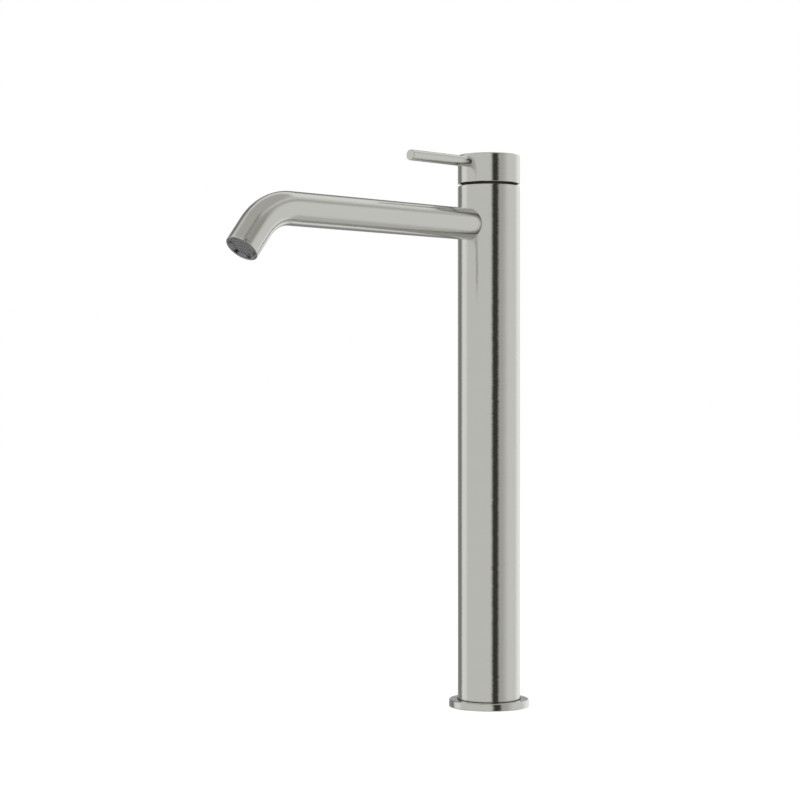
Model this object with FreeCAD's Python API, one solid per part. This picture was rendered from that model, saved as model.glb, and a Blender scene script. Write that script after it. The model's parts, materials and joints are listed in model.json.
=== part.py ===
"""A tall single-lever basin mixer: round column, bent round spout, tilting cap with a pin lever.

Millimetres. The origin is the centre of the base face, +Z is up, and the spout and the
lever point towards -Y. Every function below makes one sub-part at its place in the mixer.
"""
import FreeCAD, Part
import math
import os

V = FreeCAD.Vector
UP = V(0, 0, 1)
DOWN = V(0, 0, -1)
ACROSS = V(1, 0, 0)
FRONT = V(0, -1, 0)

# ---- column and foot -------------------------------------------------------------
column_radius = 20.0
column_wall = 1.5
column_top = 334.55
flange_overhang = 5.65
flange_thickness = 4.75
flange_edge = 0.4
flange_recess = 1.5
foot_seal_width = 0.45
foot_seal_depth = 1.0
foot_seal_rise = 0.25
gasket_inset = 1.5
gasket_width = 2.5
gasket_depth = 1.6

foot_height = 24.0
foot_shoulder = 2.4
stud_hole_radius = 3.4
stud_hole_depth = 16.0
stud_offset = 11.0
hose_bore_radius = 4.5
hose_bore_depth = 10.6
inlet_offset = 6.5
inlet_radius = 2.4

# ---- risers ----------------------------------------------------------------------
riser_radius = 4.0
riser_wall = 1.0
riser_end_gap = 0.3
socket_depth = 10.0
riser_ring_thickness = 1.2
riser_ring_set_back = 4.5

# ---- valve body ------------------------------------------------------------------
seat_drop = 36.3
floor_thickness = 14.0
thread_height = 7.0
nut_thread_step = 1.4

# ---- cartridge -------------------------------------------------------------------
cartridge_radius = 12.5
base_height = 4.5
waist_step = 1.0
shell_wall = 0.9
shell_collar_height = 6.0
shell_collar_rise = 3.4
shell_neck_height = 5.5
shell_lip = 2.4
shell_ring_thickness = 1.0
disc_thickness = 2.5
disc_gap = 0.05
outlet_offset = 4.2
outlet_radius = 2.6
pocket_length = 3.6
pocket_height = 1.3
port_seal_wall = 1.2
port_seal_height = 1.2
slider_floor = 1.05
slider_height = 5.45
slider_flat = 1.0

stem_arm = 7.6
stem_radius = 3.2
stem_flat = 0.6
stem_foot = 3.6
ball_radius = 2.1
ball_neck_radius = 1.6
pin_radius = 1.5
carrier_step = 0.9
carrier_collar_height = 2.0
lift_degrees = 20.0

nut_flange_flats = 26.0
nut_flange_height = 2.8

# ---- cap, dome and lever ---------------------------------------------------------
cap_gap = 1.8
cap_height = 18.3
cap_edge = 0.45
cap_round = 0.9
cap_rim_wall = 1.2
cap_rim_depth = 4.5
cap_wall = 3.0
cap_roof = 2.5
cap_boss_wall = 3.0
dome_wall = 1.2
adapter_radius = 8.0
adapter_roof = 2.3
adapter_screw_radius = 1.45
adapter_screw_head_radius = 2.8
adapter_screw_head_height = 1.2
adapter_screw_socket_depth = 0.84
adapter_screw_length = 6.5

lever_radius = 3.37
lever_drop = 5.45
lever_reach = 72.2
lever_tip_round = 0.5
lever_seat_depth = 1.6
lever_shank_radius = 2.25
lever_shank_gap = 1.4

# ---- spout and outlet ------------------------------------------------------------
spout_radius = 10.15
spout_wall = 1.7
spout_rise = 11.1
spout_straight = 172.95
spout_bend_radius = 33.4
spout_bend_degrees = 51.5
spout_end_length = 16.55
spout_lip_chamfer = 0.25
outlet_wall = 1.2

neck_step = 0.5
nose_step = 1.0
nose_end_gap = 0.4
adapter_bore_radius = 5.0
spout_grip = 20.0
spout_ring_thickness = 1.1
spout_ring_set_back = 4.0
screw_groove_depth = 1.6
screw_groove_width = 4.6
spout_screw_radius = 2.0
spout_screw_socket_flats = 2.0
spout_screw_socket_depth = 1.4

aerator_recess = 0.8
aerator_length = 8.2
aerator_wall = 1.15
aerator_rim_step = 0.5
aerator_rim_height = 1.6
aerator_slot_count = 6
aerator_slot_turn = 48.0
aerator_slot_width = 2.4
aerator_slot_depth = 1.3
grid_recess = 1.2
grid_height = 2.6
grid_pitch = 1.35
grid_rib = 0.3
screen_recess = 5.6
screen_thickness = 0.4
screen_hole_radius = 0.45
screen_pitch = 1.45
seal_thickness = 1.6
seal_width = 2.4

# ---- clearances ------------------------------------------------------------------
fit = 0.1
slip = 0.05
ring_squeeze = 0.04
swing = 0.3

# ---- column and foot, worked out -------------------------------------------------
tube_bore_radius = column_radius - column_wall
plug_radius = tube_bore_radius - fit
flange_radius = column_radius + flange_overhang
flange_bore_radius = plug_radius - foot_shoulder
seat_recess_level = flange_thickness - flange_recess
foot_seal_inner_radius = column_radius + slip
foot_seal_outer_radius = foot_seal_inner_radius + foot_seal_width
foot_seal_level = flange_thickness - foot_seal_depth
gasket_inner_radius = column_radius + gasket_inset
gasket_outer_radius = gasket_inner_radius + gasket_width

# ---- cartridge, worked out upwards from its seat ---------------------------------
lift = math.radians(lift_degrees)
slide_travel = stem_arm * math.sin(lift)
slider_centre = slide_travel / 2
cavity_radius = cartridge_radius + fit
shell_waist_radius = cartridge_radius - waist_step
shell_inner_radius = shell_waist_radius - shell_wall
lower_disc_radius = shell_inner_radius - 2 * fit
upper_disc_radius = shell_inner_radius - slider_centre - 2 * swing
carrier_radius = shell_inner_radius - fit
carrier_collar_radius = carrier_radius - carrier_step
carrier_slot_half_width = stem_radius + swing
pocket_front = inlet_radius + swing
pocket_half_width = inlet_offset - swing

seat_level = column_top - seat_drop
base_top = seat_level + base_height
lower_disc_top = base_top + disc_thickness
upper_disc_bottom = lower_disc_top + disc_gap
upper_disc_top = upper_disc_bottom + disc_thickness
slider_top = upper_disc_top + slider_height
ball_floor = upper_disc_top + slider_floor
ball_level = ball_floor + swing + ball_radius
pivot_level = ball_level + stem_arm
carrier_bottom = slider_top + 1.5 * swing
carrier_leg_bottom = upper_disc_top + 1.5 * swing
nut_level = pivot_level + shell_collar_rise
shell_top = nut_level + shell_neck_height
carrier_shoulder = shell_top - shell_lip - fit
carrier_top = shell_top + carrier_collar_height

# ---- valve body and nut, worked out ----------------------------------------------
body_bottom = seat_level - floor_thickness
body_top = nut_level + thread_height
nut_thread_radius = cavity_radius + nut_thread_step
nut_inner_radius = shell_waist_radius + fit
nut_flange_level = body_top + 2 * fit

# ---- cap, dome and lever, worked out ---------------------------------------------
cap_bottom = column_top + cap_gap
cap_top = cap_bottom + cap_height
cap_roof_level = cap_top - cap_roof
dome_radius = math.hypot(plug_radius, column_top - pivot_level)
dome_hole_radius = stem_radius / math.cos(lift) + dome_radius * math.tan(lift) + swing
adapter_bottom = pivot_level + dome_radius + 2 * swing
adapter_top = cap_roof_level - slip
stem_top = adapter_top - adapter_roof
cap_boss_bottom = adapter_bottom + 2 * swing
lever_level = cap_top - lever_drop
lever_seat = column_radius - lever_seat_depth
lever_shank_end = stem_radius + lever_shank_gap

# ---- spout and outlet, worked out ------------------------------------------------
bend = math.radians(spout_bend_degrees)
spout_level = seat_level + spout_rise
spout_bore_radius = spout_radius - spout_wall
sleeve_radius = spout_bore_radius - slip
neck_radius = sleeve_radius - neck_step
nose_radius = neck_radius - nose_step
spotface_level = math.sqrt(plug_radius ** 2 - (neck_radius + fit) ** 2) - fit
nose_length = spotface_level - cavity_radius - nose_end_gap
adapter_grip_start = column_radius + slip
adapter_grip_end = adapter_grip_start + spout_grip
spout_screw_place = adapter_grip_start + spout_grip / 2
outlet_bore_radius = spout_radius - outlet_wall
outlet_bore_depth = aerator_recess + aerator_length + seal_thickness
aerator_radius = outlet_bore_radius - fit
aerator_bore_radius = aerator_radius - aerator_wall


# ---- small helpers ---------------------------------------------------------------
def rod(radius, start, end):
    """A round solid between two points."""
    along = end - start
    return Part.makeCylinder(radius, along.Length, start, along)


def ring(outer_radius, inner_radius, bottom, top):
    """A tube about the column's axis."""
    return disc(outer_radius, bottom, top).cut(disc(inner_radius, bottom - 1, top + 1))


def disc(radius, bottom, top, x=0.0, y=0.0):
    """An upright cylinder."""
    return rod(radius, V(x, y, bottom), V(x, y, top))


def block(x0, x1, y0, y1, z0, z1):
    """A box between two corners."""
    return Part.makeBox(x1 - x0, y1 - y0, z1 - z0, V(x0, y0, z0))


def turned(profile):
    """A solid turned about the column's axis from (radius, height) points."""
    points = [V(r, 0, z) for r, z in profile]
    face = Part.Face(Part.makePolygon(points + [points[0]]))
    return face.revolve(V(0, 0, 0), UP, 360)


def o_ring(centre, axis, inner_radius, thickness):
    """A round-section ring whose hole has the inner radius."""
    return Part.makeTorus(inner_radius + thickness / 2, thickness / 2, centre, axis)


def ring_groove(start, end, groove_radius, bore_radius):
    """The space that a groove leaves around a round part of the bore radius."""
    return rod(groove_radius, start, end).cut(rod(bore_radius, start, end))


def prism(corner_radius, sides, bottom, height, x=0.0, y=0.0):
    """An upright prism with equal sides."""
    points = []
    for i in range(sides):
        angle = 2 * math.pi * (i + 0.5) / sides
        points.append(V(x + corner_radius * math.cos(angle), y + corner_radius * math.sin(angle), bottom))
    face = Part.Face(Part.makePolygon(points + [points[0]]))
    return face.extrude(UP * height)


def drilled(solid, holes):
    """The solid with all the holes cut out in one step."""
    return solid.cut(Part.Compound(holes))


def lattice(pitch, reach):
    """Places of a triangular lattice within a circle."""
    places = []
    rows = int(reach / (pitch * math.sqrt(3) / 2)) + 1
    columns = int(reach / pitch) + 2
    for row in range(-rows, rows + 1):
        for column in range(-columns, columns + 1):
            x = (column + 0.5 * (row % 2)) * pitch
            y = row * pitch * math.sqrt(3) / 2
            if math.hypot(x, y) <= reach:
                places.append((x, y))
    return places


def inlets():
    """The two sides of the mixer on which water comes in."""
    return (-inlet_offset, inlet_offset)


# ---- column and foot -------------------------------------------------------------
def base_flange():
    body = disc(flange_radius, 0, flange_thickness)
    body = body.makeChamfer(flange_edge, [e for e in body.Edges if on_circle(e, flange_radius)])
    body = body.cut(disc(flange_bore_radius, -1, flange_thickness + 1))
    body = body.cut(disc(column_radius + slip, seat_recess_level, flange_thickness + 1))
    body = body.cut(disc(foot_seal_outer_radius + slip, foot_seal_level, flange_thickness + 1))
    return body.cut(ring(gasket_outer_radius, gasket_inner_radius, -1, gasket_depth))


def on_circle(edge, radius):
    """True for a full circle of this radius."""
    curve = edge.Curve
    return isinstance(curve, Part.Circle) and abs(curve.Radius - radius) < 1e-6


def base_gasket():
    return ring(gasket_outer_radius - slip, gasket_inner_radius + slip, 0, gasket_depth)


def foot_seal():
    top = flange_thickness + foot_seal_rise
    return ring(foot_seal_outer_radius, foot_seal_inner_radius, foot_seal_level, top)


def foot_insert():
    lower = disc(flange_bore_radius - fit, 0, seat_recess_level)
    body = lower.fuse(disc(plug_radius, seat_recess_level, foot_height)).removeSplitter()
    holes = [disc(stud_hole_radius, -1, stud_hole_depth, y=stud_offset)]
    for x in inlets():
        holes.append(disc(hose_bore_radius, -1, hose_bore_depth, x))
        holes.append(disc(inlet_radius, 0, foot_height, x))
        holes.append(disc(riser_radius + fit, foot_height - socket_depth, foot_height + 1, x))
        holes.append(riser_groove(x, foot_height - riser_ring_set_back))
    return drilled(body, holes)


def riser_groove(x, middle):
    """The groove in a socket's wall that holds an O-ring."""
    half = riser_ring_thickness / 2 + slip
    radius = riser_radius + riser_ring_thickness + 2 * slip
    return disc(radius, middle - half, middle + half, x)


def column_tube():
    tube = ring(column_radius, tube_bore_radius, seat_recess_level, column_top)
    hole = rod(neck_radius + fit, V(0, 0, spout_level), V(0, -column_radius - 1, spout_level))
    return tube.cut(hole)


# ---- risers ----------------------------------------------------------------------
def riser(x):
    bottom = foot_height - socket_depth + riser_end_gap
    top = body_bottom + socket_depth - riser_end_gap
    return disc(riser_radius, bottom, top, x).cut(disc(riser_radius - riser_wall, bottom - 1, top + 1, x))


def riser_seals():
    rings = []
    for x in inlets():
        for level in (foot_height - riser_ring_set_back, body_bottom + riser_ring_set_back):
            rings.append(o_ring(V(x, 0, level), UP, riser_radius + ring_squeeze, riser_ring_thickness))
    return Part.Compound(rings)


# ---- valve body ------------------------------------------------------------------
def valve_body():
    body = disc(plug_radius, body_bottom, body_top)
    holes = [
        disc(cavity_radius, seat_level, nut_level),
        disc(nut_thread_radius, nut_level, body_top + 1),
        rod(nose_radius + slip, V(0, 0, spout_level), V(0, -plug_radius - 1, spout_level)),
        rod(neck_radius + fit, V(0, -spotface_level, spout_level), V(0, -plug_radius - 1, spout_level)),
    ]
    for x in inlets():
        holes.append(disc(inlet_radius, body_bottom, seat_level, x))
        holes.append(disc(riser_radius + fit, body_bottom - 1, body_bottom + socket_depth, x))
        holes.append(riser_groove(x, body_bottom + riser_ring_set_back))
    return drilled(body, holes)


# ---- spout -----------------------------------------------------------------------
def outlet_place():
    """The outlet's frame: its Z axis leaves the spout, its origin is the centre of the lip."""
    y = -spout_straight - spout_bend_radius * math.sin(bend) - spout_end_length * math.cos(bend)
    z = spout_level - spout_bend_radius * (1 - math.cos(bend)) - spout_end_length * math.sin(bend)
    return FreeCAD.Placement(V(0, y, z), FreeCAD.Rotation(ACROSS, 90 + spout_bend_degrees))


def at_outlet(shape):
    """A shape drawn about the Z axis, put at the spout's end."""
    shape.Placement = outlet_place()
    return shape


def bent_rod(radius):
    """A round solid along the spout's centre line: straight, bend and straight end."""
    elbow = V(0, -spout_straight, spout_level)
    centre = elbow - UP * spout_bend_radius
    circle = Part.Wire(Part.makeCircle(radius, elbow, FRONT))
    turn = Part.Face(circle).revolve(centre, ACROSS, spout_bend_degrees)
    straight = rod(radius, V(0, 0, spout_level), elbow)
    end = at_outlet(disc(radius, -spout_end_length, 0))
    return straight.fuse([turn, end]).removeSplitter()


def spout_tube():
    tube = bent_rod(spout_radius)
    lip = [e for e in tube.Edges if on_circle(e, spout_radius) and at_lip(e)]
    tube = tube.makeChamfer(spout_lip_chamfer, lip)
    saddle = disc(column_radius + slip, spout_level - 2 * spout_radius, spout_level + 2 * spout_radius)
    mouth = at_outlet(disc(outlet_bore_radius, -outlet_bore_depth, 1))
    place = V(0, -spout_screw_place, spout_level)
    screw_hole = rod(spout_screw_radius + slip, place, place + DOWN * 2 * spout_radius)
    return tube.cut(bent_rod(spout_bore_radius)).cut([saddle, mouth, screw_hole])


def at_lip(edge):
    """True for the circle at the spout's end."""
    return edge.Curve.Center.isEqual(outlet_place().Base, 1e-6)


def spout_adapter():
    centre = V(0, 0, spout_level)
    parts = [
        rod(nose_radius, centre + FRONT * (spotface_level - nose_length), centre + FRONT * spotface_level),
        rod(neck_radius, centre + FRONT * spotface_level, centre + FRONT * adapter_grip_start),
        rod(sleeve_radius, centre + FRONT * adapter_grip_start, centre + FRONT * adapter_grip_end),
    ]
    body = parts[0].fuse(parts[1:]).removeSplitter()
    holes = [rod(adapter_bore_radius, centre, centre + FRONT * (adapter_grip_end + 1))]
    half = spout_ring_thickness / 2 + slip
    for place in spout_ring_places():
        start = centre + FRONT * (place - half)
        end = centre + FRONT * (place + half)
        holes.append(ring_groove(start, end, sleeve_radius + 1, spout_groove_radius()))
    start = centre + FRONT * (spout_screw_place - screw_groove_width / 2)
    end = centre + FRONT * (spout_screw_place + screw_groove_width / 2)
    holes.append(ring_groove(start, end, sleeve_radius + 1, sleeve_radius - screw_groove_depth))
    return drilled(body, holes)


def spout_ring_places():
    """How far in front of the column's axis the two O-rings lie."""
    return (adapter_grip_start + spout_ring_set_back, adapter_grip_end - spout_ring_set_back)


def spout_groove_radius():
    """The floor of the O-ring grooves."""
    return spout_bore_radius - spout_ring_thickness - 2 * ring_squeeze


def spout_seals():
    inner = spout_groove_radius() + ring_squeeze
    rings = []
    for place in spout_ring_places():
        rings.append(o_ring(V(0, -place, spout_level), FRONT, inner, spout_ring_thickness))
    return Part.Compound(rings)


def spout_screw():
    floor = sleeve_radius - screw_groove_depth + slip
    top = V(0, -spout_screw_place, spout_level - floor)
    bottom = V(0, -spout_screw_place, spout_level - spout_radius + swing)
    body = rod(spout_screw_radius, bottom, top)
    corner = spout_screw_socket_flats / math.sqrt(3)
    socket = prism(corner, 6, bottom.z - 1, spout_screw_socket_depth + 1, y=-spout_screw_place)
    return body.cut(socket)


# ---- outlet ----------------------------------------------------------------------
def aerator_body():
    top = -aerator_recess
    body = ring(aerator_radius, aerator_bore_radius, top - aerator_length, top)
    step = ring(aerator_radius + 1, aerator_radius - aerator_rim_step, top - aerator_rim_height, top + 1)
    body = body.cut(step)
    slots = []
    for i in range(aerator_slot_count):
        half = aerator_slot_width / 2
        slot = block(-half, half, aerator_bore_radius / 2, aerator_radius + 1, top - aerator_slot_depth, 1)
        slot.rotate(V(0, 0, 0), UP, aerator_slot_turn + 360 * i / aerator_slot_count)
        slots.append(slot)
    return at_outlet(drilled(body, slots))


def aerator_grid():
    top = -aerator_recess - grid_recess
    radius = aerator_bore_radius - slip
    corner = (grid_pitch - grid_rib) / math.sqrt(3)
    body = disc(radius, top - grid_height, top)
    cells = []
    for x, y in lattice(grid_pitch, radius - grid_pitch * 0.55):
        cells.append(prism(corner, 6, top - grid_height - 1, grid_height + 2, x, y))
    return at_outlet(drilled(body, cells))


def aerator_screen():
    top = -aerator_recess - screen_recess
    radius = aerator_bore_radius - slip
    body = disc(radius, top - screen_thickness, top)
    holes = []
    for x, y in lattice(screen_pitch, radius - screen_pitch * 0.5):
        holes.append(disc(screen_hole_radius, top - screen_thickness - 1, top + 1, x, y))
    return at_outlet(drilled(body, holes))


def aerator_seal():
    bottom = -outlet_bore_depth
    outer = outlet_bore_radius - slip
    return at_outlet(ring(outer, outer - seal_width, bottom, -aerator_recess - aerator_length))


# ---- cartridge -------------------------------------------------------------------
def cartridge_base():
    body = disc(cartridge_radius, seat_level, base_top)
    half = outlet_radius
    duct_floor = seat_level + base_height / 3
    duct_roof = base_top - base_height / 4
    rim = shell_waist_radius + fit
    holes = [
        disc(outlet_radius, duct_floor, base_top + 1, y=outlet_offset),
        block(-half, half, outlet_offset, cartridge_radius + 1, duct_floor, duct_roof),
        block(-half, half, rim, cartridge_radius + 1, duct_floor, base_top + 1),
    ]
    for x in inlets():
        holes.append(disc(inlet_radius, seat_level - 1, base_top + 1, x))
        seal_top = seat_level + port_seal_height
        holes.append(disc(inlet_radius + port_seal_wall + slip, seat_level - 1, seal_top, x))
    return drilled(body, holes)


def cartridge_seals():
    rings = []
    for x in inlets():
        outer = disc(inlet_radius + port_seal_wall, seat_level, seat_level + port_seal_height, x)
        rings.append(outer.cut(disc(inlet_radius, seat_level - 1, base_top, x)))
    return Part.Compound(rings)


def lower_disc():
    body = disc(lower_disc_radius, base_top, lower_disc_top)
    holes = [disc(outlet_radius, base_top - 1, lower_disc_top + 1, y=outlet_offset)]
    for x in inlets():
        holes.append(disc(inlet_radius, base_top - 1, lower_disc_top + 1, x))
    return drilled(body, holes)


def upper_disc():
    body = disc(upper_disc_radius, upper_disc_bottom, upper_disc_top, y=slider_centre)
    wide = pocket_half_width
    back = pocket_front + pocket_length
    roof = upper_disc_bottom + pocket_height
    return body.cut(block(-wide, wide, pocket_front, back, upper_disc_bottom - 1, roof))


def disc_slider():
    body = disc(upper_disc_radius, upper_disc_top, slider_top, y=slider_centre)
    wide = slider_half_width()
    sides = block(-wide, wide, -2 * cartridge_radius, 2 * cartridge_radius, upper_disc_top, slider_top)
    flare_floor = ball_level + ball_radius / 2
    seat = disc(ball_radius + fit, ball_floor, slider_top + 1)
    flare = disc(ball_radius + ball_neck_radius / 2 + swing, flare_floor, slider_top + 1)
    return body.common(sides).cut([seat, flare])


def slider_half_width():
    """Half the width across the slider's two flats."""
    return upper_disc_radius - slider_flat


def cartridge_shell():
    collar_bottom = nut_level - shell_collar_height
    lip_bottom = shell_top - shell_lip
    outside = turned([
        (shell_inner_radius, base_top),
        (shell_waist_radius, base_top),
        (shell_waist_radius, collar_bottom),
        (cartridge_radius, collar_bottom),
        (cartridge_radius, nut_level),
        (shell_waist_radius, nut_level),
        (shell_waist_radius, shell_top),
        (carrier_collar_radius + fit, shell_top),
        (carrier_collar_radius + fit, lip_bottom),
        (shell_inner_radius, lip_bottom),
    ])
    half = shell_ring_thickness / 2 + slip
    floor = cavity_radius - shell_ring_thickness - 2 * ring_squeeze
    middle = V(0, 0, shell_ring_level())
    return outside.cut(ring_groove(middle - UP * half, middle + UP * half, cartridge_radius + 1, floor))


def shell_ring_level():
    """The height of the O-ring round the cartridge's collar."""
    return nut_level - shell_collar_height / 2


def shell_seal():
    inner = cavity_radius - shell_ring_thickness - ring_squeeze
    return o_ring(V(0, 0, shell_ring_level()), UP, inner, shell_ring_thickness)


def cartridge_nut():
    thread = disc(nut_thread_radius - fit, nut_level, nut_flange_level)
    corner = nut_flange_flats / math.sqrt(3)
    flange = prism(corner, 6, nut_flange_level, nut_flange_height)
    body = thread.fuse(flange).removeSplitter()
    return body.cut(disc(nut_inner_radius, nut_level - 1, nut_flange_level + nut_flange_height + 1))


def turning_carrier():
    body = disc(carrier_radius, carrier_bottom, carrier_shoulder)
    body = body.fuse(disc(carrier_collar_radius, carrier_shoulder, carrier_top))
    legs = disc(carrier_radius, carrier_leg_bottom, carrier_bottom)
    wide = slider_half_width() + 0.5 * swing
    legs = legs.cut(block(-wide, wide, -2 * carrier_radius, 2 * carrier_radius, 0, column_top))
    body = body.fuse(legs).removeSplitter()
    return body.cut([stem_slot(), cross_rod(pin_radius, carrier_radius)])


def cross_rod(radius, reach):
    """A round solid along the pivot's axis, to the same reach on both sides."""
    return rod(radius, V(-reach, 0, pivot_level), V(reach, 0, pivot_level))


def stem_slot():
    """The slot in which the stem tilts from upright to the lift angle."""
    up = carrier_top + 1 - pivot_level
    down = pivot_level - carrier_bottom + 1
    rest = carrier_slot_half_width
    tilted = carrier_slot_half_width / math.cos(lift)
    corners = [
        (-rest, up),
        (up * math.tan(lift) + tilted, up),
        (tilted, 0),
        (rest, -down),
        (-down * math.tan(lift) - tilted, -down),
        (-tilted, 0),
    ]
    half = carrier_slot_half_width
    points = [V(-half, y, pivot_level + z) for y, z in corners]
    return Part.Face(Part.makePolygon(points + [points[0]])).extrude(ACROSS * 2 * half)


def pivot_pin():
    return cross_rod(pin_radius, carrier_radius - swing)


def cartridge_stem():
    ball = Part.makeSphere(ball_radius, V(0, 0, ball_level))
    neck_top = pivot_level - stem_foot
    neck = disc(ball_neck_radius, ball_level, neck_top)
    shaft = disc(stem_radius, neck_top, adapter_bottom)
    wide = stem_radius - stem_flat
    end = disc(stem_radius, adapter_bottom, stem_top)
    end = end.common(block(-wide, wide, -2 * stem_radius, 2 * stem_radius, adapter_bottom, stem_top))
    body = ball.fuse([neck, shaft, end]).removeSplitter()
    pin_hole = cross_rod(pin_radius + slip, 2 * stem_radius)
    screw_hole = disc(adapter_screw_radius + slip, screw_tip() - swing, stem_top + 1)
    return body.cut([pin_hole, screw_hole])


# ---- handle ----------------------------------------------------------------------
def screw_tip():
    """The lower end of the adapter's screw."""
    return adapter_top - adapter_screw_length


def stem_adapter():
    body = disc(adapter_radius, adapter_bottom, adapter_top)
    wide = stem_radius - stem_flat + slip
    bore = disc(stem_radius + slip, adapter_bottom - 1, stem_top)
    bore = bore.common(block(-wide, wide, -2 * stem_radius, 2 * stem_radius, adapter_bottom - 1, stem_top))
    head = disc(adapter_screw_head_radius + fit, adapter_top - adapter_screw_head_height, adapter_top + 1)
    hole = disc(adapter_screw_radius + fit, stem_top - 1, adapter_top)
    shank = lever_hole(lever_shank_radius + slip, lever_shank_end - slip)
    return body.cut([bore, head, hole, shank])


def adapter_screw():
    head = disc(adapter_screw_head_radius, adapter_top - adapter_screw_head_height, adapter_top)
    shank = disc(adapter_screw_radius, screw_tip(), adapter_top - adapter_screw_head_height)
    socket = prism(adapter_screw_radius, 6, adapter_top - adapter_screw_socket_depth, 1)
    return head.fuse(shank).removeSplitter().cut(socket)


def lever_hole(radius, inner_end):
    """A hole along the lever's axis, from the inner end out past the cap."""
    return rod(radius, V(0, -inner_end, lever_level), V(0, -column_radius - 1, lever_level))


def handle_cap():
    rim_bore = column_radius - cap_rim_wall
    bore = column_radius - cap_wall
    boss_bore = adapter_radius + slip
    boss = boss_bore + cap_boss_wall
    rim_top = cap_bottom + cap_rim_depth
    body = turned([
        (0, cap_top),
        (column_radius, cap_top),
        (column_radius, cap_bottom + cap_edge / 2),
        (column_radius - cap_edge / 2, cap_bottom),
        (rim_bore + cap_edge, cap_bottom),
        (rim_bore, cap_bottom + cap_edge),
        (rim_bore, rim_top),
        (bore, rim_top + rim_bore - bore),
        (bore, cap_roof_level),
        (boss, cap_roof_level),
        (boss, cap_boss_bottom),
        (boss_bore, cap_boss_bottom),
        (boss_bore, cap_roof_level),
        (0, cap_roof_level),
    ])
    body = body.makeFillet(cap_round, [e for e in body.Edges if on_circle(e, column_radius) and at_cap_top(e)])
    seat = lever_hole(lever_radius + slip, lever_seat - slip)
    return drilled(body, [lever_hole(lever_shank_radius + fit, 0), seat])


def at_cap_top(edge):
    """True for a circle in the cap's top face."""
    return abs(edge.Curve.Center.z - cap_top) < 1e-6


def lever_rod():
    bar = rod(lever_radius, V(0, -lever_seat, lever_level), V(0, -lever_reach, lever_level))
    bar = bar.makeFillet(lever_tip_round, [e for e in bar.Edges if at_tip(e)])
    shank = rod(lever_shank_radius, V(0, -lever_shank_end, lever_level), V(0, -lever_seat, lever_level))
    return bar.fuse(shank).removeSplitter()


def at_tip(edge):
    """True for the round edge of the lever's free end."""
    return on_circle(edge, lever_radius) and abs(edge.Curve.Center.y + lever_reach) < 1e-6


def dome_cover():
    inner = dome_radius - dome_wall
    skirt_bore = plug_radius - dome_wall
    sphere = Part.makeSphere(dome_radius, V(0, 0, pivot_level))
    hollow = Part.makeSphere(inner, V(0, 0, pivot_level))
    zone = disc(plug_radius, body_top, pivot_level + dome_radius + 1).common(sphere)
    bore = disc(skirt_bore, body_top - 1, pivot_level + dome_radius + 1).common(hollow)
    hole = disc(dome_hole_radius, body_top - 1, pivot_level + dome_radius + 2)
    return zone.cut([bore, hole])


SUB_PARTS = {
    "base_flange": base_flange,
    "base_gasket": base_gasket,
    "foot_seal": foot_seal,
    "foot_insert": foot_insert,
    "column_tube": column_tube,
    "hot_riser": lambda: riser(-inlet_offset),
    "cold_riser": lambda: riser(inlet_offset),
    "riser_seals": riser_seals,
    "valve_body": valve_body,
    "spout_tube": spout_tube,
    "spout_adapter": spout_adapter,
    "spout_seals": spout_seals,
    "spout_screw": spout_screw,
    "aerator_body": aerator_body,
    "aerator_grid": aerator_grid,
    "aerator_screen": aerator_screen,
    "aerator_seal": aerator_seal,
    "cartridge_base": cartridge_base,
    "cartridge_seals": cartridge_seals,
    "lower_disc": lower_disc,
    "upper_disc": upper_disc,
    "disc_slider": disc_slider,
    "cartridge_shell": cartridge_shell,
    "shell_seal": shell_seal,
    "cartridge_nut": cartridge_nut,
    "turning_carrier": turning_carrier,
    "pivot_pin": pivot_pin,
    "cartridge_stem": cartridge_stem,
    "stem_adapter": stem_adapter,
    "adapter_screw": adapter_screw,
    "handle_cap": handle_cap,
    "lever_rod": lever_rod,
    "dome_cover": dome_cover,
}

os.makedirs("parts", exist_ok=True)
for name, make in SUB_PARTS.items():
    shape = make()
    shape.exportStep("parts/" + name + ".step")
    print(f"{name}: {len(shape.Solids)} solid, {shape.Volume:.1f} mm3, valid {shape.isValid()}")
print(f"slide travel {slide_travel:.3f} mm, slide per radian {slide_travel / lift:.4f} mm")
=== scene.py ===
# %% [markdown]
# # A tall basin mixer in brushed nickel
#
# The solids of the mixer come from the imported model: a column on a thin foot plate, a bent
# spout, and a cap with a pin lever that turns and tilts on the cartridge inside the column.
# This file dresses them. It loads them as a fixed frame, sets up a camera and a small photo
# studio, mixes the finishes and then builds the pieces that need a finer form than a solid
# gives. Blender works in metres, so every size below is in metres.

# %% Load the mixer
import bpy
import json
import math
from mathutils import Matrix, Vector


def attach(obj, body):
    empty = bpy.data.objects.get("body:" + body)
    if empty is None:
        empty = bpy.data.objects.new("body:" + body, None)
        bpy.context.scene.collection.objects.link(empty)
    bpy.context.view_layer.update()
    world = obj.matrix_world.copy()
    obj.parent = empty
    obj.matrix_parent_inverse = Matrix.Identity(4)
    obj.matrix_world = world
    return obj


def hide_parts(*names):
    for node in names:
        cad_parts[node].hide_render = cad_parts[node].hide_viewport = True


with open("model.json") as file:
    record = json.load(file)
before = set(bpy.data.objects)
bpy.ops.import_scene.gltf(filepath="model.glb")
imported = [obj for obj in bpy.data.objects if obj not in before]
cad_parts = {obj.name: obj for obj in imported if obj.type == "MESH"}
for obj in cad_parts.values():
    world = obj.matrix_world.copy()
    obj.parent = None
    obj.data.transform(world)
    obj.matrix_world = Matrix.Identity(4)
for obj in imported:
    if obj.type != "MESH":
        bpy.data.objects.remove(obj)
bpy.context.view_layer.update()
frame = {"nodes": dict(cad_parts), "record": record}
nodes = frame["nodes"]

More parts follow.
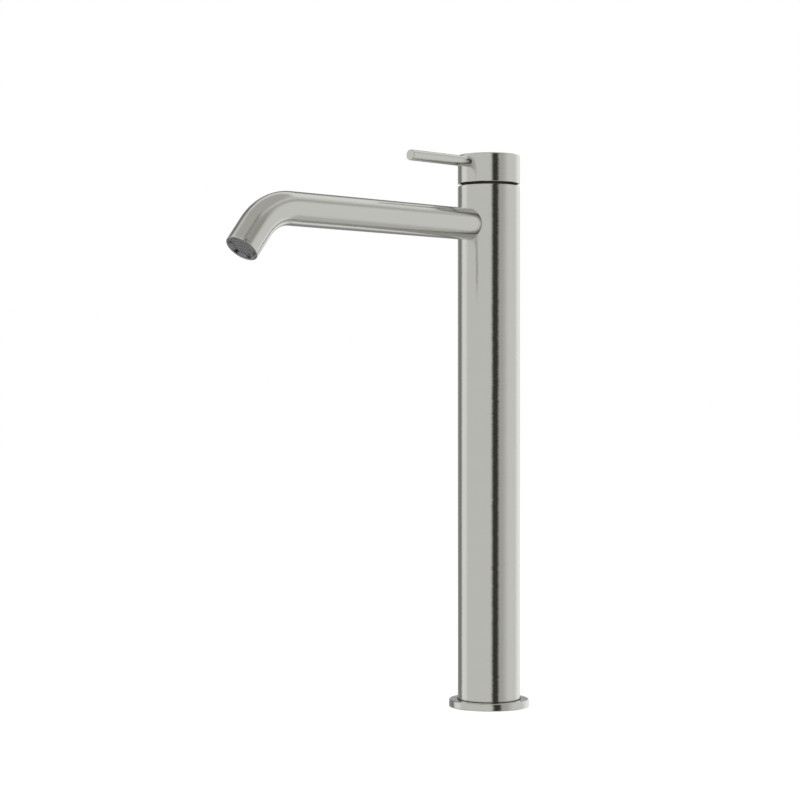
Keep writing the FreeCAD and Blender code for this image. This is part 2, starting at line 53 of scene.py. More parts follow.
# %% [markdown]
# ## The camera
#
# The picture is taken from low down, halfway up the column, and from the front right, so the
# spout and the lever come towards the left. A level camera keeps the column's sides upright
# and parallel. It could be aimed with a Track To constraint, but a plain turn about Z is
# enough here, and it leaves nothing live in the file.

# %% Camera
camera_place = Vector((0.9014, -0.9824, 0.19715))
camera_heading = math.radians(45)
level_view = math.radians(90)
sensor_width = 36.0
focal_length = 92.97

camera = bpy.data.objects.new("camera", bpy.data.cameras.new("camera"))
bpy.context.collection.objects.link(camera)
camera.location = camera_place
camera.rotation_euler = (level_view, 0, camera_heading)
camera.data.sensor_width = sensor_width
camera.data.lens = focal_length
bpy.context.scene.camera = camera
bpy.context.scene.view_settings.view_transform = "Standard"
print("camera", round(camera_place.length, 3), "m from the foot")


# %% [markdown]
# ## Writing node trees as sums
#
# A finish is a tree of nodes, and so is a form that Geometry Nodes make. Most of those nodes
# only add and multiply. Wiring each by hand hides the idea, so a small class stands for one
# socket of the tree: a sum on such wires adds the Math nodes itself. Every other node comes
# from one method that takes the node's type, its settings and what goes into its sockets.

# %% Wires
class Wire:
    """One output socket. Sums on wires, and on wires and numbers, add Math nodes."""

    def __init__(self, recipe, socket):
        self.recipe = recipe
        self.socket = socket

    def through(self, operation, *others):
        return self.recipe.maths(operation, self, *others)

    def __add__(self, other):
        return self.recipe.maths("ADD", self, other)

    def __sub__(self, other):
        return self.recipe.maths("SUBTRACT", self, other)

    def __mul__(self, other):
        return self.recipe.maths("MULTIPLY", self, other)

    def __truediv__(self, other):
        return self.recipe.maths("DIVIDE", self, other)

    def __rsub__(self, other):
        return self.recipe.maths("SUBTRACT", other, self)

    def __rtruediv__(self, other):
        return self.recipe.maths("DIVIDE", other, self)

    __radd__ = __add__
    __rmul__ = __mul__


class Made:
    """A node that has just been added, with its outputs as wires."""

    def __init__(self, recipe, node):
        self.recipe = recipe
        self.node = node

    def out(self, name=0):
        return Wire(self.recipe, self.node.outputs[name])


# %% Recipes
class Recipe:
    """A node tree under construction."""

    def __init__(self, tree):
        self.tree = tree
        tree.nodes.clear()

    def node(self, kind, settings=None, sockets=None):
        node = self.tree.nodes.new(kind)
        for name, value in (settings or {}).items():
            setattr(node, name, value)
        for name, value in (sockets or {}).items():
            if isinstance(value, Wire):
                self.tree.links.new(value.socket, node.inputs[name])
            else:
                node.inputs[name].default_value = value
        return Made(self, node)

    def maths(self, operation, *values):
        return self.node("ShaderNodeMath", {"operation": operation}, dict(enumerate(values))).out()

    def vectors(self, operation, *values, result="Vector"):
        """Vector Math, where scaling takes its number from a socket with a name."""
        sockets = dict(enumerate(values))
        if operation == "SCALE":
            sockets = {0: values[0], "Scale": values[1]}
        return self.node("ShaderNodeVectorMath", {"operation": operation}, sockets).out(result)

    def soft_step(self, value, start, end):
        """Runs smoothly from 0 at the start to 1 at the end."""
        sockets = {"Value": value, "From Min": start, "From Max": end}
        return self.node("ShaderNodeMapRange", {"interpolation_type": "SMOOTHSTEP"}, sockets).out()

    def mix(self, factor, first, second):
        """Goes from the first number to the second as the factor goes from 0 to 1."""
        return first + factor * (second - first)

    def blend(self, factor, first, second):
        """Goes from the first colour to the second as the factor goes from 0 to 1."""
        sockets = {0: factor, 6: first, 7: second}
        return self.node("ShaderNodeMix", {"data_type": "RGBA"}, sockets).out(2)

    def split(self, vector):
        parts = self.node("ShaderNodeSeparateXYZ", None, {0: vector})
        return [parts.out(axis) for axis in "XYZ"]

    def join(self, x, y, z):
        return self.node("ShaderNodeCombineXYZ", None, {"X": x, "Y": y, "Z": z}).out()


def colour(red, green, blue):
    return (red, green, blue, 1)


def grey(level):
    return colour(level, level, level)


# %% [markdown]
# ## The studio
#
# Polished and brushed metal has little colour of its own: what one sees is the room. A
# photographer puts pale cards around a tap, and one black card, the flag, whose reflection
# draws the dark line down the column. The cards could be lit planes, but then other camera
# angles would catch them, so they are painted on the world instead, by direction. Angles are
# measured in degrees from the first camera's own direction, to its right and upwards. Dark
# cards near the camera are a warm grey and those on the far wall a cool one; bright cards are
# neutral. What the camera itself sees behind the mixer is plain white.

# %% The studio's cards
# name: (centre, half width, softness) across, (centre, half height, softness) up, brightness
studio_cards = {
    "ceiling": ((0, 200, 10), (90, 35, 5), 0.54),
    "front lamp shade": ((22, 13, 8), (52, 7, 5), 0.30),
    "right wall": ((112, 50, 26), (0, 38, 14), 0.82),
    "side screen": ((38, 22, 18), (0, 50, 14), 0.52),
    "side screen top": ((48, 20, 14), (27, 9, 12), 0.36),
    "back right wall": ((152, 32, 10), (4, 30, 10), 1.06),
    "floor": ((0, 200, 10), (-66, 32, 6), 0.60),
    "flag": ((21.5, 12, 4.2), (0, 44.5, 2.5), 0.045),
    "left strip": ((-108, 15, 8), (0, 40, 10), 0.96),
    "back left wall": ((-157, 34, 7), (0, 38, 8), 0.26),
    "back middle": ((-174, 20, 12), (2, 16, 8), 0.42),
    "lintel": ((78, 36, 8), (39, 4, 8), 0.44),
    "right light bar": ((84, 42, 20), (50.5, 1.5, 4), 0.74),
    "back light bar": ((160, 34, 10), (47, 6, 4), 0.95),
    "back left light bar": ((-148, 24, 10), (55, 5, 4), 0.85),
    "back left shade": ((-142, 12, 8), (39, 6, 4), 0.20),
    "back lintel": ((175, 9, 6), (27, 9, 6), 0.20),
    "floor seam": ((136, 8, 5), (-46, 4, 3), 0.05),
    "left floor shade": ((-148, 20, 8), (-44, 9, 6), 0.20),
    "back floor strip": ((156, 8, 4), (-43, 5, 4), 0.95),
    "back base": ((175, 9, 6), (-26, 11, 6), 0.30),
}
front_wall_level = 0.75
half_circle = 180
print("cards", ", ".join(studio_cards))

# %% World
ambient_level = 0.80
white_level = 1.0
near_card_tint = (1.0, 0.985, 0.83)
far_wall_tint = (0.99, 1.0, 1.06)
# the tint is full at the first brightness and gone at the second
full_tint_level = -0.2
no_tint_level = 0.8
# how far a direction points towards the camera's side: -1 is away from it, 1 is at it
far_wall_end = -0.6
near_cards_start = 0.2

world = bpy.data.worlds.new("studio")
world.use_nodes = True
bpy.context.scene.world = world
room = Recipe(world.node_tree)
heading = room.node("ShaderNodeTexCoord").out("Generated")
toward = (math.sin(camera_heading), -math.cos(camera_heading), 0)
rightward = (math.cos(camera_heading), math.sin(camera_heading), 0)


def along(direction):
    return room.vectors("DOT_PRODUCT", heading, direction, result="Value")


def within(distance, half_width, softness):
    """1 inside the half width and 0 outside it, with a soft edge between."""
    return 1 - room.soft_step(distance, half_width - softness, half_width + softness)


ahead = along(toward)
across = along(rightward).through("ARCTAN2", ahead) * math.degrees(1)
height = along((0, 0, 1)).through("ARCSINE") * math.degrees(1)
level = front_wall_level
for (bearing, *width_edge), (rise, *height_edge), brightness in studio_cards.values():
    off_side = (across - bearing).through("WRAP", half_circle, -half_circle).through("ABSOLUTE")
    off_height = (height - rise).through("ABSOLUTE")
    mask = within(off_side, *width_edge) * within(off_height, *height_edge)
    level = room.mix(mask, level, brightness)

ray = room.node("ShaderNodeLightPath")
seen = ray.out("Is Camera Ray")
mirrored = ray.out("Is Glossy Ray")
strength = room.mix(mirrored, room.mix(seen, ambient_level, white_level), level)
warmth = mirrored * (1 - room.soft_step(level, full_tint_level, no_tint_level))
near = room.soft_step(ahead, far_wall_end, near_cards_start)
shade = room.blend(near, colour(*far_wall_tint), colour(*near_card_tint))
tint = room.blend(warmth, grey(white_level), shade)
background = room.node("ShaderNodeBackground", None, {"Color": tint, "Strength": strength})
room.node("ShaderNodeOutputWorld", None, {"Surface": background.out()})
print("studio cards", len(studio_cards), "nodes", len(world.node_tree.nodes))

# %% [markdown]
# ## The floor and its soft shadow
#
# The mixer stands on a plain pale floor that runs into the white behind it. One large soft
# lamp above gives the foot a gentle shadow. The floor adds a little light of its own for the
# camera, so that it reads as white where nothing shades it. Glossy rays pass through it: the
# metal then sees the same studio below the horizon as above it, as it does over a glass table.

# %% Floor
floor_size = 12.0
floor_colour = 0.80
floor_glow = 0.37

floor_mesh = bpy.data.meshes.new("floor")
half = floor_size / 2
corners = [(-half, -half, 0), (half, -half, 0), (half, half, 0), (-half, half, 0)]
floor_mesh.from_pydata(corners, [], [(0, 1, 2, 3)])
floor = bpy.data.objects.new("floor", floor_mesh)
bpy.context.collection.objects.link(floor)

floor_finish = bpy.data.materials.new("pale floor")
floor_finish.use_nodes = True
paint = Recipe(floor_finish.node_tree)
ray = paint.node("ShaderNodeLightPath")
glow_strength = ray.out("Is Camera Ray") * floor_glow
matt = paint.node("ShaderNodeBsdfDiffuse", None, {"Color": grey(floor_colour)})
glow = paint.node("ShaderNodeEmission", None, {"Color": grey(white_level), "Strength": glow_strength})
lit = paint.node("ShaderNodeAddShader", None, {0: matt.out(), 1: glow.out()})
clear = paint.node("ShaderNodeBsdfTransparent")
seen_by = paint.node("ShaderNodeMixShader", None, {
    0: ray.out("Is Glossy Ray"), 1: lit.out(), 2: clear.out()})
paint.node("ShaderNodeOutputMaterial", None, {"Surface": seen_by.out()})
floor_mesh.materials.append(floor_finish)
print("floor", floor_size, "m across")

# %% Lamp
lamp_place = Vector((0.5, -0.7, 1.5))
lamp_target = Vector((0, -0.08, 0.15))
lamp_size = 1.2
lamp_power = 9.0

lamp = bpy.data.objects.new("soft_lamp", bpy.data.lights.new("soft_lamp", "AREA"))
bpy.context.collection.objects.link(lamp)
lamp.data.shape = "DISK"
lamp.data.size = lamp_size
lamp.data.energy = lamp_power
lamp.location = lamp_place
lamp.rotation_euler = (lamp_target - lamp_place).to_track_quat("-Z", "Y").to_euler()
lamp.visible_glossy = False
print("lamp", lamp_power, "W,", round((lamp_target - lamp_place).length, 2), "m away")

# %% [markdown]
# ## Brushed nickel
#
# The nickel is brushed while the part turns against the belt, so its fine lines run round the
# axis of every part. The lines are a noise pattern that is squeezed along the axis and drawn
# out across it. They tilt the surface a little, which frays the edges of the reflections, and
# change the gloss a little from line to line. Coarser rows of the same kind lean the surface
# sideways round the axis, one way and the other, so a dark reflection wavers along its length
# as it does on a hand-fed part. A metal's brushing could also be anisotropy, but an exported
# model loses that, while lines in the normal and the roughness stay.

# %% Nickel's sizes and colours
nickel_colour = colour(0.645, 0.640, 0.602)
nickel_dark = colour(0.615, 0.610, 0.572)
nickel_roughness = 0.125
line_roughness_range = 0.05
band_roughness_range = 0.02
line_width = 0.0005
line_length = 0.0025
line_strength = 1.0
line_height = 0.00003
line_share = 0.6
band_width = 0.004
band_length = 0.03
row_width = 0.0007
row_waver = 0.06


# %% Brushing
def new_finish(name):
    finish = bpy.data.materials.new(name)
    finish.use_nodes = True
    return finish, Recipe(finish.node_tree)


def noise(recipe, place, detail=2.0, scale=1.0, roughness=0.5):
    settings = {"noise_dimensions": "3D"}
    sockets = {"Vector": place, "Scale": scale, "Detail": detail, "Roughness": roughness}
    return recipe.node("ShaderNodeTexNoise", settings, sockets).out("Fac")


def surface(recipe, base_colour, metallic, roughness, normal):
    """Closes a finish with one Principled surface."""
    body = recipe.node("ShaderNodeBsdfPrincipled", None, {
        "Base Color": base_colour, "Metallic": metallic, "Roughness": roughness, "Normal": normal})
    recipe.node("ShaderNodeOutputMaterial", None, {"Surface": body.out()})


def brushed_nickel(name, centre=(0, 0, 0), turn=(0, 0, 0), path_map=None, axis=(0, 0, 1)):
    """Nickel brushed about one axis: the local Z of the mapping, or of a stored path map.

    The last value is that axis again, as a direction in the scene.
    """
    finish, recipe = new_finish(name)
    if path_map:
        place = recipe.node("ShaderNodeAttribute", {"attribute_name": path_map}).out("Vector")
    else:
        place = recipe.node("ShaderNodeTexCoord").out("Object")
        shift = {"Vector": place, "Location": centre, "Rotation": turn}
        place = recipe.node("ShaderNodeMapping", {"vector_type": "TEXTURE"}, shift).out()
    x, y, z = recipe.split(place)
    reach = z + (x * x + y * y).through("SQRT")

    def streaks(length, width, detail=2.0, roughness=0.5):
        drawn_out = recipe.join(x / length, y / length, reach / width)
        return noise(recipe, drawn_out, detail, roughness=roughness)

    lines = streaks(line_length, line_width, detail=3.0, roughness=0.6)
    bands = streaks(band_length, band_width)
    rows = streaks(band_length, row_width)
    tone = recipe.blend(lines * line_share + bands * (1 - line_share), nickel_dark, nickel_colour)
    smoothest = nickel_roughness - (line_roughness_range + band_roughness_range) / 2
    gloss = lines * line_roughness_range + bands * band_roughness_range + smoothest
    bump = recipe.node("ShaderNodeBump", None, {
        "Strength": line_strength, "Distance": line_height, "Height": lines}).out()
    sideways = recipe.vectors("CROSS_PRODUCT", bump, axis)
    lean = recipe.vectors("SCALE", sideways, (rows - 0.5) * row_waver)
    wavy = recipe.vectors("NORMALIZE", recipe.vectors("ADD", bump, lean))
    surface(recipe, tone, metallic=1.0, roughness=gloss, normal=wavy)
    return finish


# %% Nickel for the column, the spout and the lever
lever_level = 0.3492
path_map = "brushing"
lying_down = (math.radians(90), 0, 0)
spout_way = (0, 1, 0)
upright_nickel = brushed_nickel("brushed nickel, upright")
spout_nickel = brushed_nickel("brushed nickel, spout", path_map=path_map, axis=spout_way)
lever_nickel = brushed_nickel("brushed nickel, lever", (0, 0, lever_level), lying_down, axis=spout_way)
print("nickel lines", line_width * 1000, "mm wide")

# %% [markdown]
# ## The other materials
#
# Inside the column there is cast and turned brass, ceramic, moulded plastic, rubber and a
# little stainless steel. They hardly show, but a part that is taken apart in a viewer does
# show them, so each has its own grain and its own unevenness of gloss. One function mixes
# them all, because they differ only in their colours, gloss and grain.

# %% One recipe for grained materials
blotch_size = 12
relief = 1 / 8


def grained(name, light, dark, roughness, spread, grain, depth, metallic=0.0):
    """A material with a fine grain: its colour and gloss wander a little between two ends."""
    finish, recipe = new_finish(name)
    place = recipe.node("ShaderNodeTexCoord").out("Object")
    fine = noise(recipe, place, 4.0, 1 / grain, 0.6)
    blotches = noise(recipe, place, 2.0, 1 / (blotch_size * grain))
    tone = recipe.blend((fine + blotches) / 2, colour(*dark), colour(*light))
    gloss = fine * spread + (roughness - spread / 2)
    bump = recipe.node("ShaderNodeBump", None, {
        "Strength": depth, "Distance": grain * relief, "Height": fine})
    surface(recipe, tone, metallic, gloss, bump.out())
    print("mixed", name)
    return finish


# %% Plastics, brass, steel, rubber and ceramic
brass = grained("turned brass", (0.72, 0.50, 0.22), (0.60, 0.40, 0.17),
                roughness=0.30, spread=0.12, grain=0.0006, depth=0.15, metallic=1.0)
steel = grained("stainless steel", (0.56, 0.57, 0.58), (0.46, 0.47, 0.48),
                roughness=0.28, spread=0.10, grain=0.0005, depth=0.12, metallic=1.0)
rubber = grained("black rubber", (0.022, 0.022, 0.023), (0.012, 0.012, 0.013),
                 roughness=0.62, spread=0.12, grain=0.0008, depth=0.25)
black_plastic = grained("black dome plastic", (0.120, 0.116, 0.098), (0.090, 0.087, 0.074),
                        roughness=0.45, spread=0.10, grain=0.0005, depth=0.15)
grey_plastic = grained("grey aerator plastic", (0.30, 0.305, 0.300), (0.22, 0.225, 0.222),
                       roughness=0.38, spread=0.10, grain=0.0005, depth=0.15)
white_plastic = grained("white cartridge plastic", (0.78, 0.77, 0.74), (0.72, 0.71, 0.68),
                        roughness=0.45, spread=0.10, grain=0.0006, depth=0.12)
ceramic = grained("polished ceramic", (0.80, 0.79, 0.76), (0.75, 0.74, 0.71),
                  roughness=0.12, spread=0.05, grain=0.0004, depth=0.03)
print("finishes", len(bpy.data.materials))

# %% Give every solid its finish
slot_finish = {
    "brushed_nickel": upright_nickel,
    "brass": brass,
    "steel": steel,
    "rubber": rubber,
    "black_plastic": black_plastic,
    "grey_plastic": grey_plastic,
    "white_plastic": white_plastic,
    "ceramic": ceramic,
}
own_finish = {"lever_rod": lever_nickel}
for sub_part in frame["record"]["subparts"]:
    name = sub_part["node"]
    slots = nodes[name].data.materials
    slots.clear()
    slots.append(own_finish.get(name, slot_finish[sub_part["material_slot"]]))
print("dressed", len(nodes), "solids")

# %% [markdown]
# ## Forms that grow from a pattern
#
# The spout is a straight tube that a bending machine pulls round a former, and here it is made
# in the same way. Python lays out a flat pattern of the tube's wall: one row for every ring of
# points along the wall's section, as a distance along the pipe, a radius and a turn about its
# axis. A Geometry Nodes tree then rolls the pattern up and bends it along the pipe's line. A
# curve with a bevel would bend as well, but it can't end in a saddle that fits the column, and
# it can't store where each point sat on the straight tube, which the brushing follows.


# %% A tree with named sizes
class Form(Recipe):
    """A Geometry Nodes tree with a named input for each of its sizes."""

    def __init__(self, name, sizes):
        super().__init__(bpy.data.node_groups.new(name, "GeometryNodeTree"))
        add_socket = self.tree.interface.new_socket
        add_socket(name="Geometry", in_out="OUTPUT", socket_type="NodeSocketGeometry")
        add_socket(name="Geometry", in_out="INPUT", socket_type="NodeSocketGeometry")
        for label, value in sizes.items():
            kind = "NodeSocketInt" if isinstance(value, int) else "NodeSocketFloat"
            add_socket(name=label, in_out="INPUT", socket_type=kind)
        self.given = self.node("NodeGroupInput")

    def end(self, geometry, finish):
        """Closes the tree: real geometry that wears its finish."""
        self.finish = finish
        real = self.node("GeometryNodeRealizeInstances", None, {"Geometry": geometry})
        dressed = self.node("GeometryNodeSetMaterial", None, {
            "Geometry": real.out(), "Material": finish})
        self.node("NodeGroupOutput", None, {"Geometry": dressed.out()})

    def grow(self, name, pattern, sizes):
        """Runs the tree on a pattern with these sizes and keeps the result as a plain mesh."""
        piece = bpy.data.objects.new(name, pattern)
        bpy.context.collection.objects.link(piece)
        modifier = piece.modifiers.new(self.tree.name, "NODES")
        modifier.node_group = self.tree
        for socket in self.tree.interface.items_tree:
            if socket.in_out == "INPUT" and socket.name in sizes:
                modifier[socket.identifier] = sizes[socket.name]
        grown = piece.evaluated_get(bpy.context.evaluated_depsgraph_get())
        plain = bpy.data.meshes.new_from_object(grown)
        plain.polygons.foreach_set("material_index", [0] * len(plain.polygons))
        plain.materials.clear()
        plain.materials.append(self.finish)
        piece.modifiers.remove(modifier)
        piece.data = plain
        print(name, len(plain.vertices), "points", len(plain.polygons), "faces")
        return piece


# %% [markdown]
# ## The bent tube
#
# The tree reads each point's distance along the pipe, radius and turn. The root is pushed
# forward to the column's surface, so it ends in a saddle, and its outer edge is eased back a
# little further. Past the straight run the pipe turns about the centre of its bend, and past
# the bend it runs straight again. The same tree puts the outlet's ring at the spout's end, and
# its notches are cut by holding the ring's top down.

# %% The sizes of the bent tube
pipe_sizes = {
    "Level": 0.30935,
    "Straight": 0.17295,
    "Bend Radius": 0.0334,
    "Bend Angle": math.radians(51.5),
    "Root Radius": 0.02025,
    "Pipe Radius": 0.01015,
    "Root Round": 0.0005,
    "Notch Count": 1,
    "Notch Width": 0.0,
    "Notch Turn": 0.0,
    "Notch Floor": 1.0,
}
sharp_edge = math.radians(40)
seam_gap = 0.000001
print("bend", round(math.degrees(pipe_sizes["Bend Angle"]), 1), "degrees")


# %% The tree of the bent tube
def bent_tube(name, finish):
    form = Form(name, pipe_sizes)
    given = [form.given.out(label) for label in pipe_sizes]
    axis_level, straight, bend_radius, bend_angle, root, pipe, root_round = given[:7]
    notch_count, notch_width, notch_turn, notch_floor = given[7:]
    place = form.node("GeometryNodeInputPosition").out()
    distance, radius, turn = form.split(place)
    side = radius * turn.through("COSINE")
    rise = radius * turn.through("SINE")
    store = {"data_type": "FLOAT_VECTOR", "domain": "POINT"}
    mapped = form.node("GeometryNodeStoreNamedAttribute", store, {
        "Geometry": form.given.out("Geometry"),
        "Name": path_map,
        "Value": form.join(side, rise, distance)})

    # the notches, then the saddle at the root and its eased edge
    half_step = math.pi / notch_count
    off_notch = (turn - notch_turn).through("WRAP", half_step, 0 - half_step).through("ABSOLUTE")
    in_notch = (notch_width / 2).through("GREATER_THAN", off_notch * radius)
    held = distance.through("MINIMUM", form.mix(in_notch, distance, notch_floor))
    saddle = (root * root - side * side).through("SQRT")
    to_edge = ((radius - pipe) / root_round + 1).through("MAXIMUM", 0.0).through("MINIMUM", 1.0)
    eased = root_round * (1 - (1 - to_edge * to_edge).through("SQRT"))
    run = held.through("MAXIMUM", saddle + eased)

    # the straight run, the bend and the last straight run
    first_run = run.through("MINIMUM", straight)
    turned = ((run - straight) / bend_radius).through("MAXIMUM", 0.0).through("MINIMUM", bend_angle)
    last_run = (run - straight - bend_radius * bend_angle).through("MAXIMUM", 0.0)
    sine, cosine = turned.through("SINE"), turned.through("COSINE")
    forward = first_run + (bend_radius + rise) * sine + last_run * cosine
    drop = bend_radius - (bend_radius + rise) * cosine + last_run * sine
    bent = form.node("GeometryNodeSetPosition", None, {
        "Geometry": mapped.out(), "Position": form.join(side, 0 - forward, axis_level - drop)})

    closed = form.node("GeometryNodeMergeByDistance", None, {
        "Geometry": bent.out(), "Distance": seam_gap})
    smooth = form.node("GeometryNodeSetShadeSmooth", {"domain": "FACE"}, {
        "Geometry": closed.out()})
    angle = form.node("GeometryNodeInputMeshEdgeAngle").out("Unsigned Angle")
    edged = form.node("GeometryNodeSetShadeSmooth", {"domain": "EDGE"}, {
        "Geometry": smooth.out(),
        "Selection": angle.through("GREATER_THAN", sharp_edge),
        "Shade Smooth": False})
    form.end(edged.out(), finish)
    return form


spout_tree = bent_tube("bent tube", spout_nickel)
print("tree nodes", len(spout_tree.tree.nodes))


# %% [markdown]
# ## The spout
#
# The wall's section starts at the root, where the outer edge is rounded: on the real one that
# edge shows as a fine dark line against the column. It goes on along the outside, round the
# lip, into the bore that holds the aerator and back along the inside. The lip is rounded a
# little too, as a belt leaves it. Rings stand closer where the pipe bends, because there every
# ring shows as a facet.

# %% Drawing a section
def arc(centre, radius, start, end, steps):
    """Points of a section's rounded corner, from one angle to the other in degrees."""
    turns = [math.radians(start + (end - start) * i / steps) for i in range(steps + 1)]
    return [(centre[0] + radius * math.sin(a), centre[1] + radius * math.cos(a)) for a in turns]


def outer_edge(end, radius, rounding, steps):
    """The rounded edge from a round outside onto the face at its end."""
    return arc((end - rounding, radius - rounding), rounding, 0, 90, steps)


def inner_edge(end, bore, rounding, steps):
    """The rounded edge from the face at an end into its bore."""
    return arc((end - rounding, bore + rounding), rounding, 90, 180, steps)


def spaced(start, end, step):
    """Even distances from the start to just before the end."""
    count = max(1, round(abs(end - start) / step))
    return [start + (end - start) * i / count for i in range(count)]


def at_radius(radius, distances):
    """Points of a section that lie on one radius."""
    return [(distance, radius) for distance in distances]


def rolled_pattern(name, section, around):
    """The flat pattern of a closed section: distance, radius and turn of every point."""
    points = []
    for distance, radius in section:
        points += [(distance, radius, math.tau * i / around) for i in range(around + 1)]
    row = around + 1
    faces = []
    for i in range(len(section)):
        here, there = i * row, (i + 1) % len(section) * row
        faces += [(here + j, here + j + 1, there + j + 1, there + j) for j in range(around)]
    mesh = bpy.data.meshes.new(name)
    mesh.from_pydata(points, [], faces)
    return mesh


# %% The spout's sizes
spout_radius = pipe_sizes["Pipe Radius"]
spout_bore = 0.00845
spout_end = 0.0164
lip_round = 0.0002
inner_lip_round = 0.0001
outlet_bore = 0.00895
outlet_depth = 0.0106
root_round = pipe_sizes["Root Round"]
root_start = pipe_sizes["Root Radius"] + 0.0012
bend_start = pipe_sizes["Straight"]
bend_end = bend_start + pipe_sizes["Bend Radius"] * pipe_sizes["Bend Angle"]
spout_length = bend_end + spout_end
outlet_floor = spout_length - outlet_depth
print("spout", round(spout_length * 1000, 1), "mm along its line")

# %% The spout's section
straight_step = 0.006
bend_step = 0.0007
inner_bend_step = 0.001
end_step = 0.002
root_steps = 6
lip_steps = 5
edge_steps = 3
spout_facets = 128

section = []
for i in range(root_steps):
    section.append((0.0, spout_radius - root_round * (1 - i / root_steps) ** 2))
section += at_radius(spout_radius, [0.0])
section += at_radius(spout_radius, spaced(root_start, bend_start, straight_step))
section += at_radius(spout_radius, spaced(bend_start, bend_end, bend_step))
section += at_radius(spout_radius, spaced(bend_end, spout_length - 2 * lip_round, end_step))
section += outer_edge(spout_length, spout_radius, lip_round, lip_steps)
section += inner_edge(spout_length, outlet_bore, inner_lip_round, edge_steps)
section += at_radius(outlet_bore, spaced(spout_length - end_step, outlet_floor, end_step))
section += [(outlet_floor, outlet_bore), (outlet_floor, spout_bore)]
section += at_radius(spout_bore, spaced(bend_end, bend_start, inner_bend_step))
section += at_radius(spout_bore, spaced(bend_start, root_start, straight_step))
section += at_radius(spout_bore, [root_start, 0.0])

spout = spout_tree.grow("spout", rolled_pattern("spout pattern", section, spout_facets), pipe_sizes)
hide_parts("spout_tube")
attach(spout, "mixer_body")
print("section points", len(section))

# %% [markdown]
# ## The aerator's ring
#
# The aerator is a plastic insert that sits a little inside the lip. A groove runs round its
# face and draws a dark line there, and six notches across it take the key that unscrews it.
# The ring could be cut from a solid with booleans, but it is a turned section like the
# spout's, so the same tree carries it and cuts its notches.

# %% The ring
insert_recess = 0.0006
insert_length = 0.0084
insert_radius = 0.00888
insert_bore = 0.0070
groove_outer = 0.0081
groove_inner = 0.0075
groove_depth = 0.003
edge_round = 0.0001
notch_depth = 0.0028
ring_step = 0.001
ring_facets = 180

top = spout_length - insert_recess
bottom = top - insert_length
section = at_radius(insert_radius, spaced(bottom, top - edge_round, ring_step))
section += outer_edge(top, insert_radius, edge_round, edge_steps)
section += inner_edge(top, groove_outer, edge_round, edge_steps)
section += [(top - groove_depth, groove_outer), (top - groove_depth, groove_inner)]
section += outer_edge(top, groove_inner, edge_round, edge_steps)
section += inner_edge(top, insert_bore, edge_round, edge_steps)
section += at_radius(insert_bore, spaced(top - ring_step / 2, bottom, ring_step))
section += at_radius(insert_bore, [bottom])
ring_sizes = {
    **pipe_sizes,
    "Notch Count": 6,
    "Notch Width": 0.0024,
    "Notch Turn": math.radians(18),
    "Notch Floor": top - notch_depth,
}

ring_tree = bent_tube("bent ring", grey_plastic)
ring = ring_tree.grow("aerator_ring", rolled_pattern("ring pattern", section, ring_facets), ring_sizes)
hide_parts("aerator_body")
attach(ring, "mixer_body")
print("ring", round(insert_radius * 2000, 1), "mm across")

# %% [markdown]
# ## The honeycomb
#
# The water leaves through a fine plastic honeycomb. Hexagons come from a trick: a triangle
# grid's dual mesh has a six-sided face round every point. Each face is inset and its middle
# taken out, which leaves the ribs, and the ribs are then given their height. Cells at the edge
# are pulled in to the ring first, so the comb ends in a clean circle. An extrusion downwards
# leaves its faces pointing inwards, so they are flipped, and the flat ribs close the top.

# %% The comb's sizes
comb_sizes = {
    "Radius": 0.00698,
    "Pitch": 0.00135,
    "Rib": 0.00036,
    "Height": 0.0026,
    "Cells": 15,
}
comb_drop = 0.0015
overlap_share = 0.3
row_share = math.sqrt(0.75)
row_lean = math.sqrt(3)
outlet_tilt = math.pi / 2 + pipe_sizes["Bend Angle"]
print("comb cells", comb_sizes["Pitch"] * 1000, "mm apart")


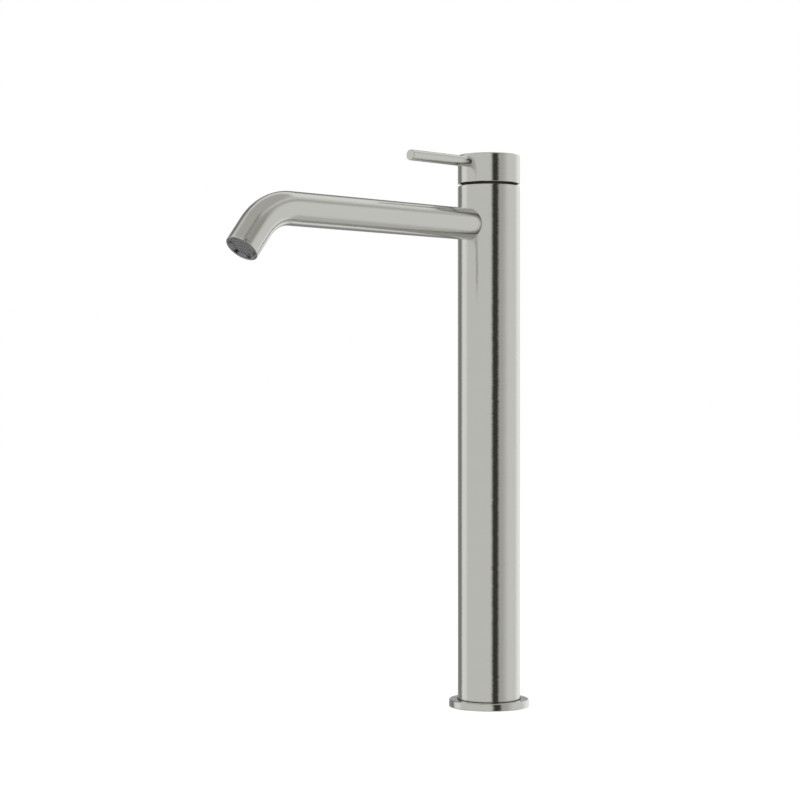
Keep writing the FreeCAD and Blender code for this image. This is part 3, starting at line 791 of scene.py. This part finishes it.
# %% The tree of the honeycomb
def honeycomb(name, place, finish):
    form = Form(name, comb_sizes)
    radius, pitch, rib, comb_height, cells = [form.given.out(label) for label in comb_sizes]
    span = pitch * (cells - 1)
    grid = form.node("GeometryNodeMeshGrid", None, {
        "Size X": span, "Size Y": span * row_share, "Vertices X": cells, "Vertices Y": cells})
    x, y, z = form.split(form.node("GeometryNodeInputPosition").out())
    leaning = form.node("GeometryNodeSetPosition", None, {
        "Geometry": grid.out(), "Position": form.join(x + y / row_lean, y, z)})
    triangles = form.node("GeometryNodeTriangulate", None, {"Mesh": leaning.out()})
    hexagons = form.node("GeometryNodeDualMesh", None, {"Mesh": triangles.out()})

    # keep the cells that reach into the circle, and pull them in to it
    x, y, z = form.split(form.node("GeometryNodeInputPosition").out())
    reach = (x * x + y * y).through("SQRT")
    outside = reach.through("GREATER_THAN", radius + pitch * overlap_share)
    kept = form.node("GeometryNodeDeleteGeometry", {"domain": "FACE"}, {
        "Geometry": hexagons.out(), "Selection": outside})
    pull = (radius / reach).through("MINIMUM", 1.0)
    rounded = form.node("GeometryNodeSetPosition", None, {
        "Geometry": kept.out(), "Position": form.join(x * pull, y * pull, z)})

    # open the middle of every cell
    inset = form.node("GeometryNodeExtrudeMesh", {"mode": "FACES"}, {
        "Mesh": rounded.out(), "Offset Scale": 0.0, "Individual": True})
    shrunk = form.node("GeometryNodeScaleElements", {"domain": "FACE"}, {
        "Geometry": inset.out("Mesh"), "Selection": inset.out("Top"), "Scale": 1 - rib / pitch})
    ribs = form.node("GeometryNodeDeleteGeometry", {"domain": "FACE"}, {
        "Geometry": shrunk.out(), "Selection": inset.out("Top")})

    # give the ribs their height and set the comb in the outlet
    walls = form.node("GeometryNodeExtrudeMesh", {"mode": "FACES"}, {
        "Mesh": ribs.out(),
        "Offset": form.join(0.0, 0.0, 0 - comb_height),
        "Offset Scale": 1.0,
        "Individual": False})
    outward = form.node("GeometryNodeFlipFaces", None, {"Mesh": walls.out("Mesh")})
    joined = form.node("GeometryNodeJoinGeometry", None, {"Geometry": outward.out()})
    form.tree.links.new(ribs.out().socket, joined.node.inputs["Geometry"])
    closed = form.node("GeometryNodeMergeByDistance", None, {
        "Geometry": joined.out(), "Distance": seam_gap})
    placed = form.node("GeometryNodeTransform", None, {
        "Geometry": closed.out(), "Translation": place, "Rotation": (outlet_tilt, 0, 0)})
    form.end(placed.out(), finish)
    return form


# %% The comb
bend_angle = pipe_sizes["Bend Angle"]
bend_radius = pipe_sizes["Bend Radius"]
outlet_way = Vector((0, -math.cos(bend_angle), -math.sin(bend_angle)))
bend_reach = bend_radius * math.sin(bend_angle)
bend_drop = bend_radius * (1 - math.cos(bend_angle))
bend_exit = Vector((0, -bend_start - bend_reach, pipe_sizes["Level"] - bend_drop))
lip_centre = bend_exit + outlet_way * spout_end
comb_tree = honeycomb("honeycomb", lip_centre - outlet_way * comb_drop, grey_plastic)
comb = comb_tree.grow("aerator_comb", bpy.data.meshes.new("comb pattern"), comb_sizes)
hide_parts("aerator_grid")
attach(comb, "mixer_body")
print("lip centre", [round(c * 1000, 2) for c in lip_centre])
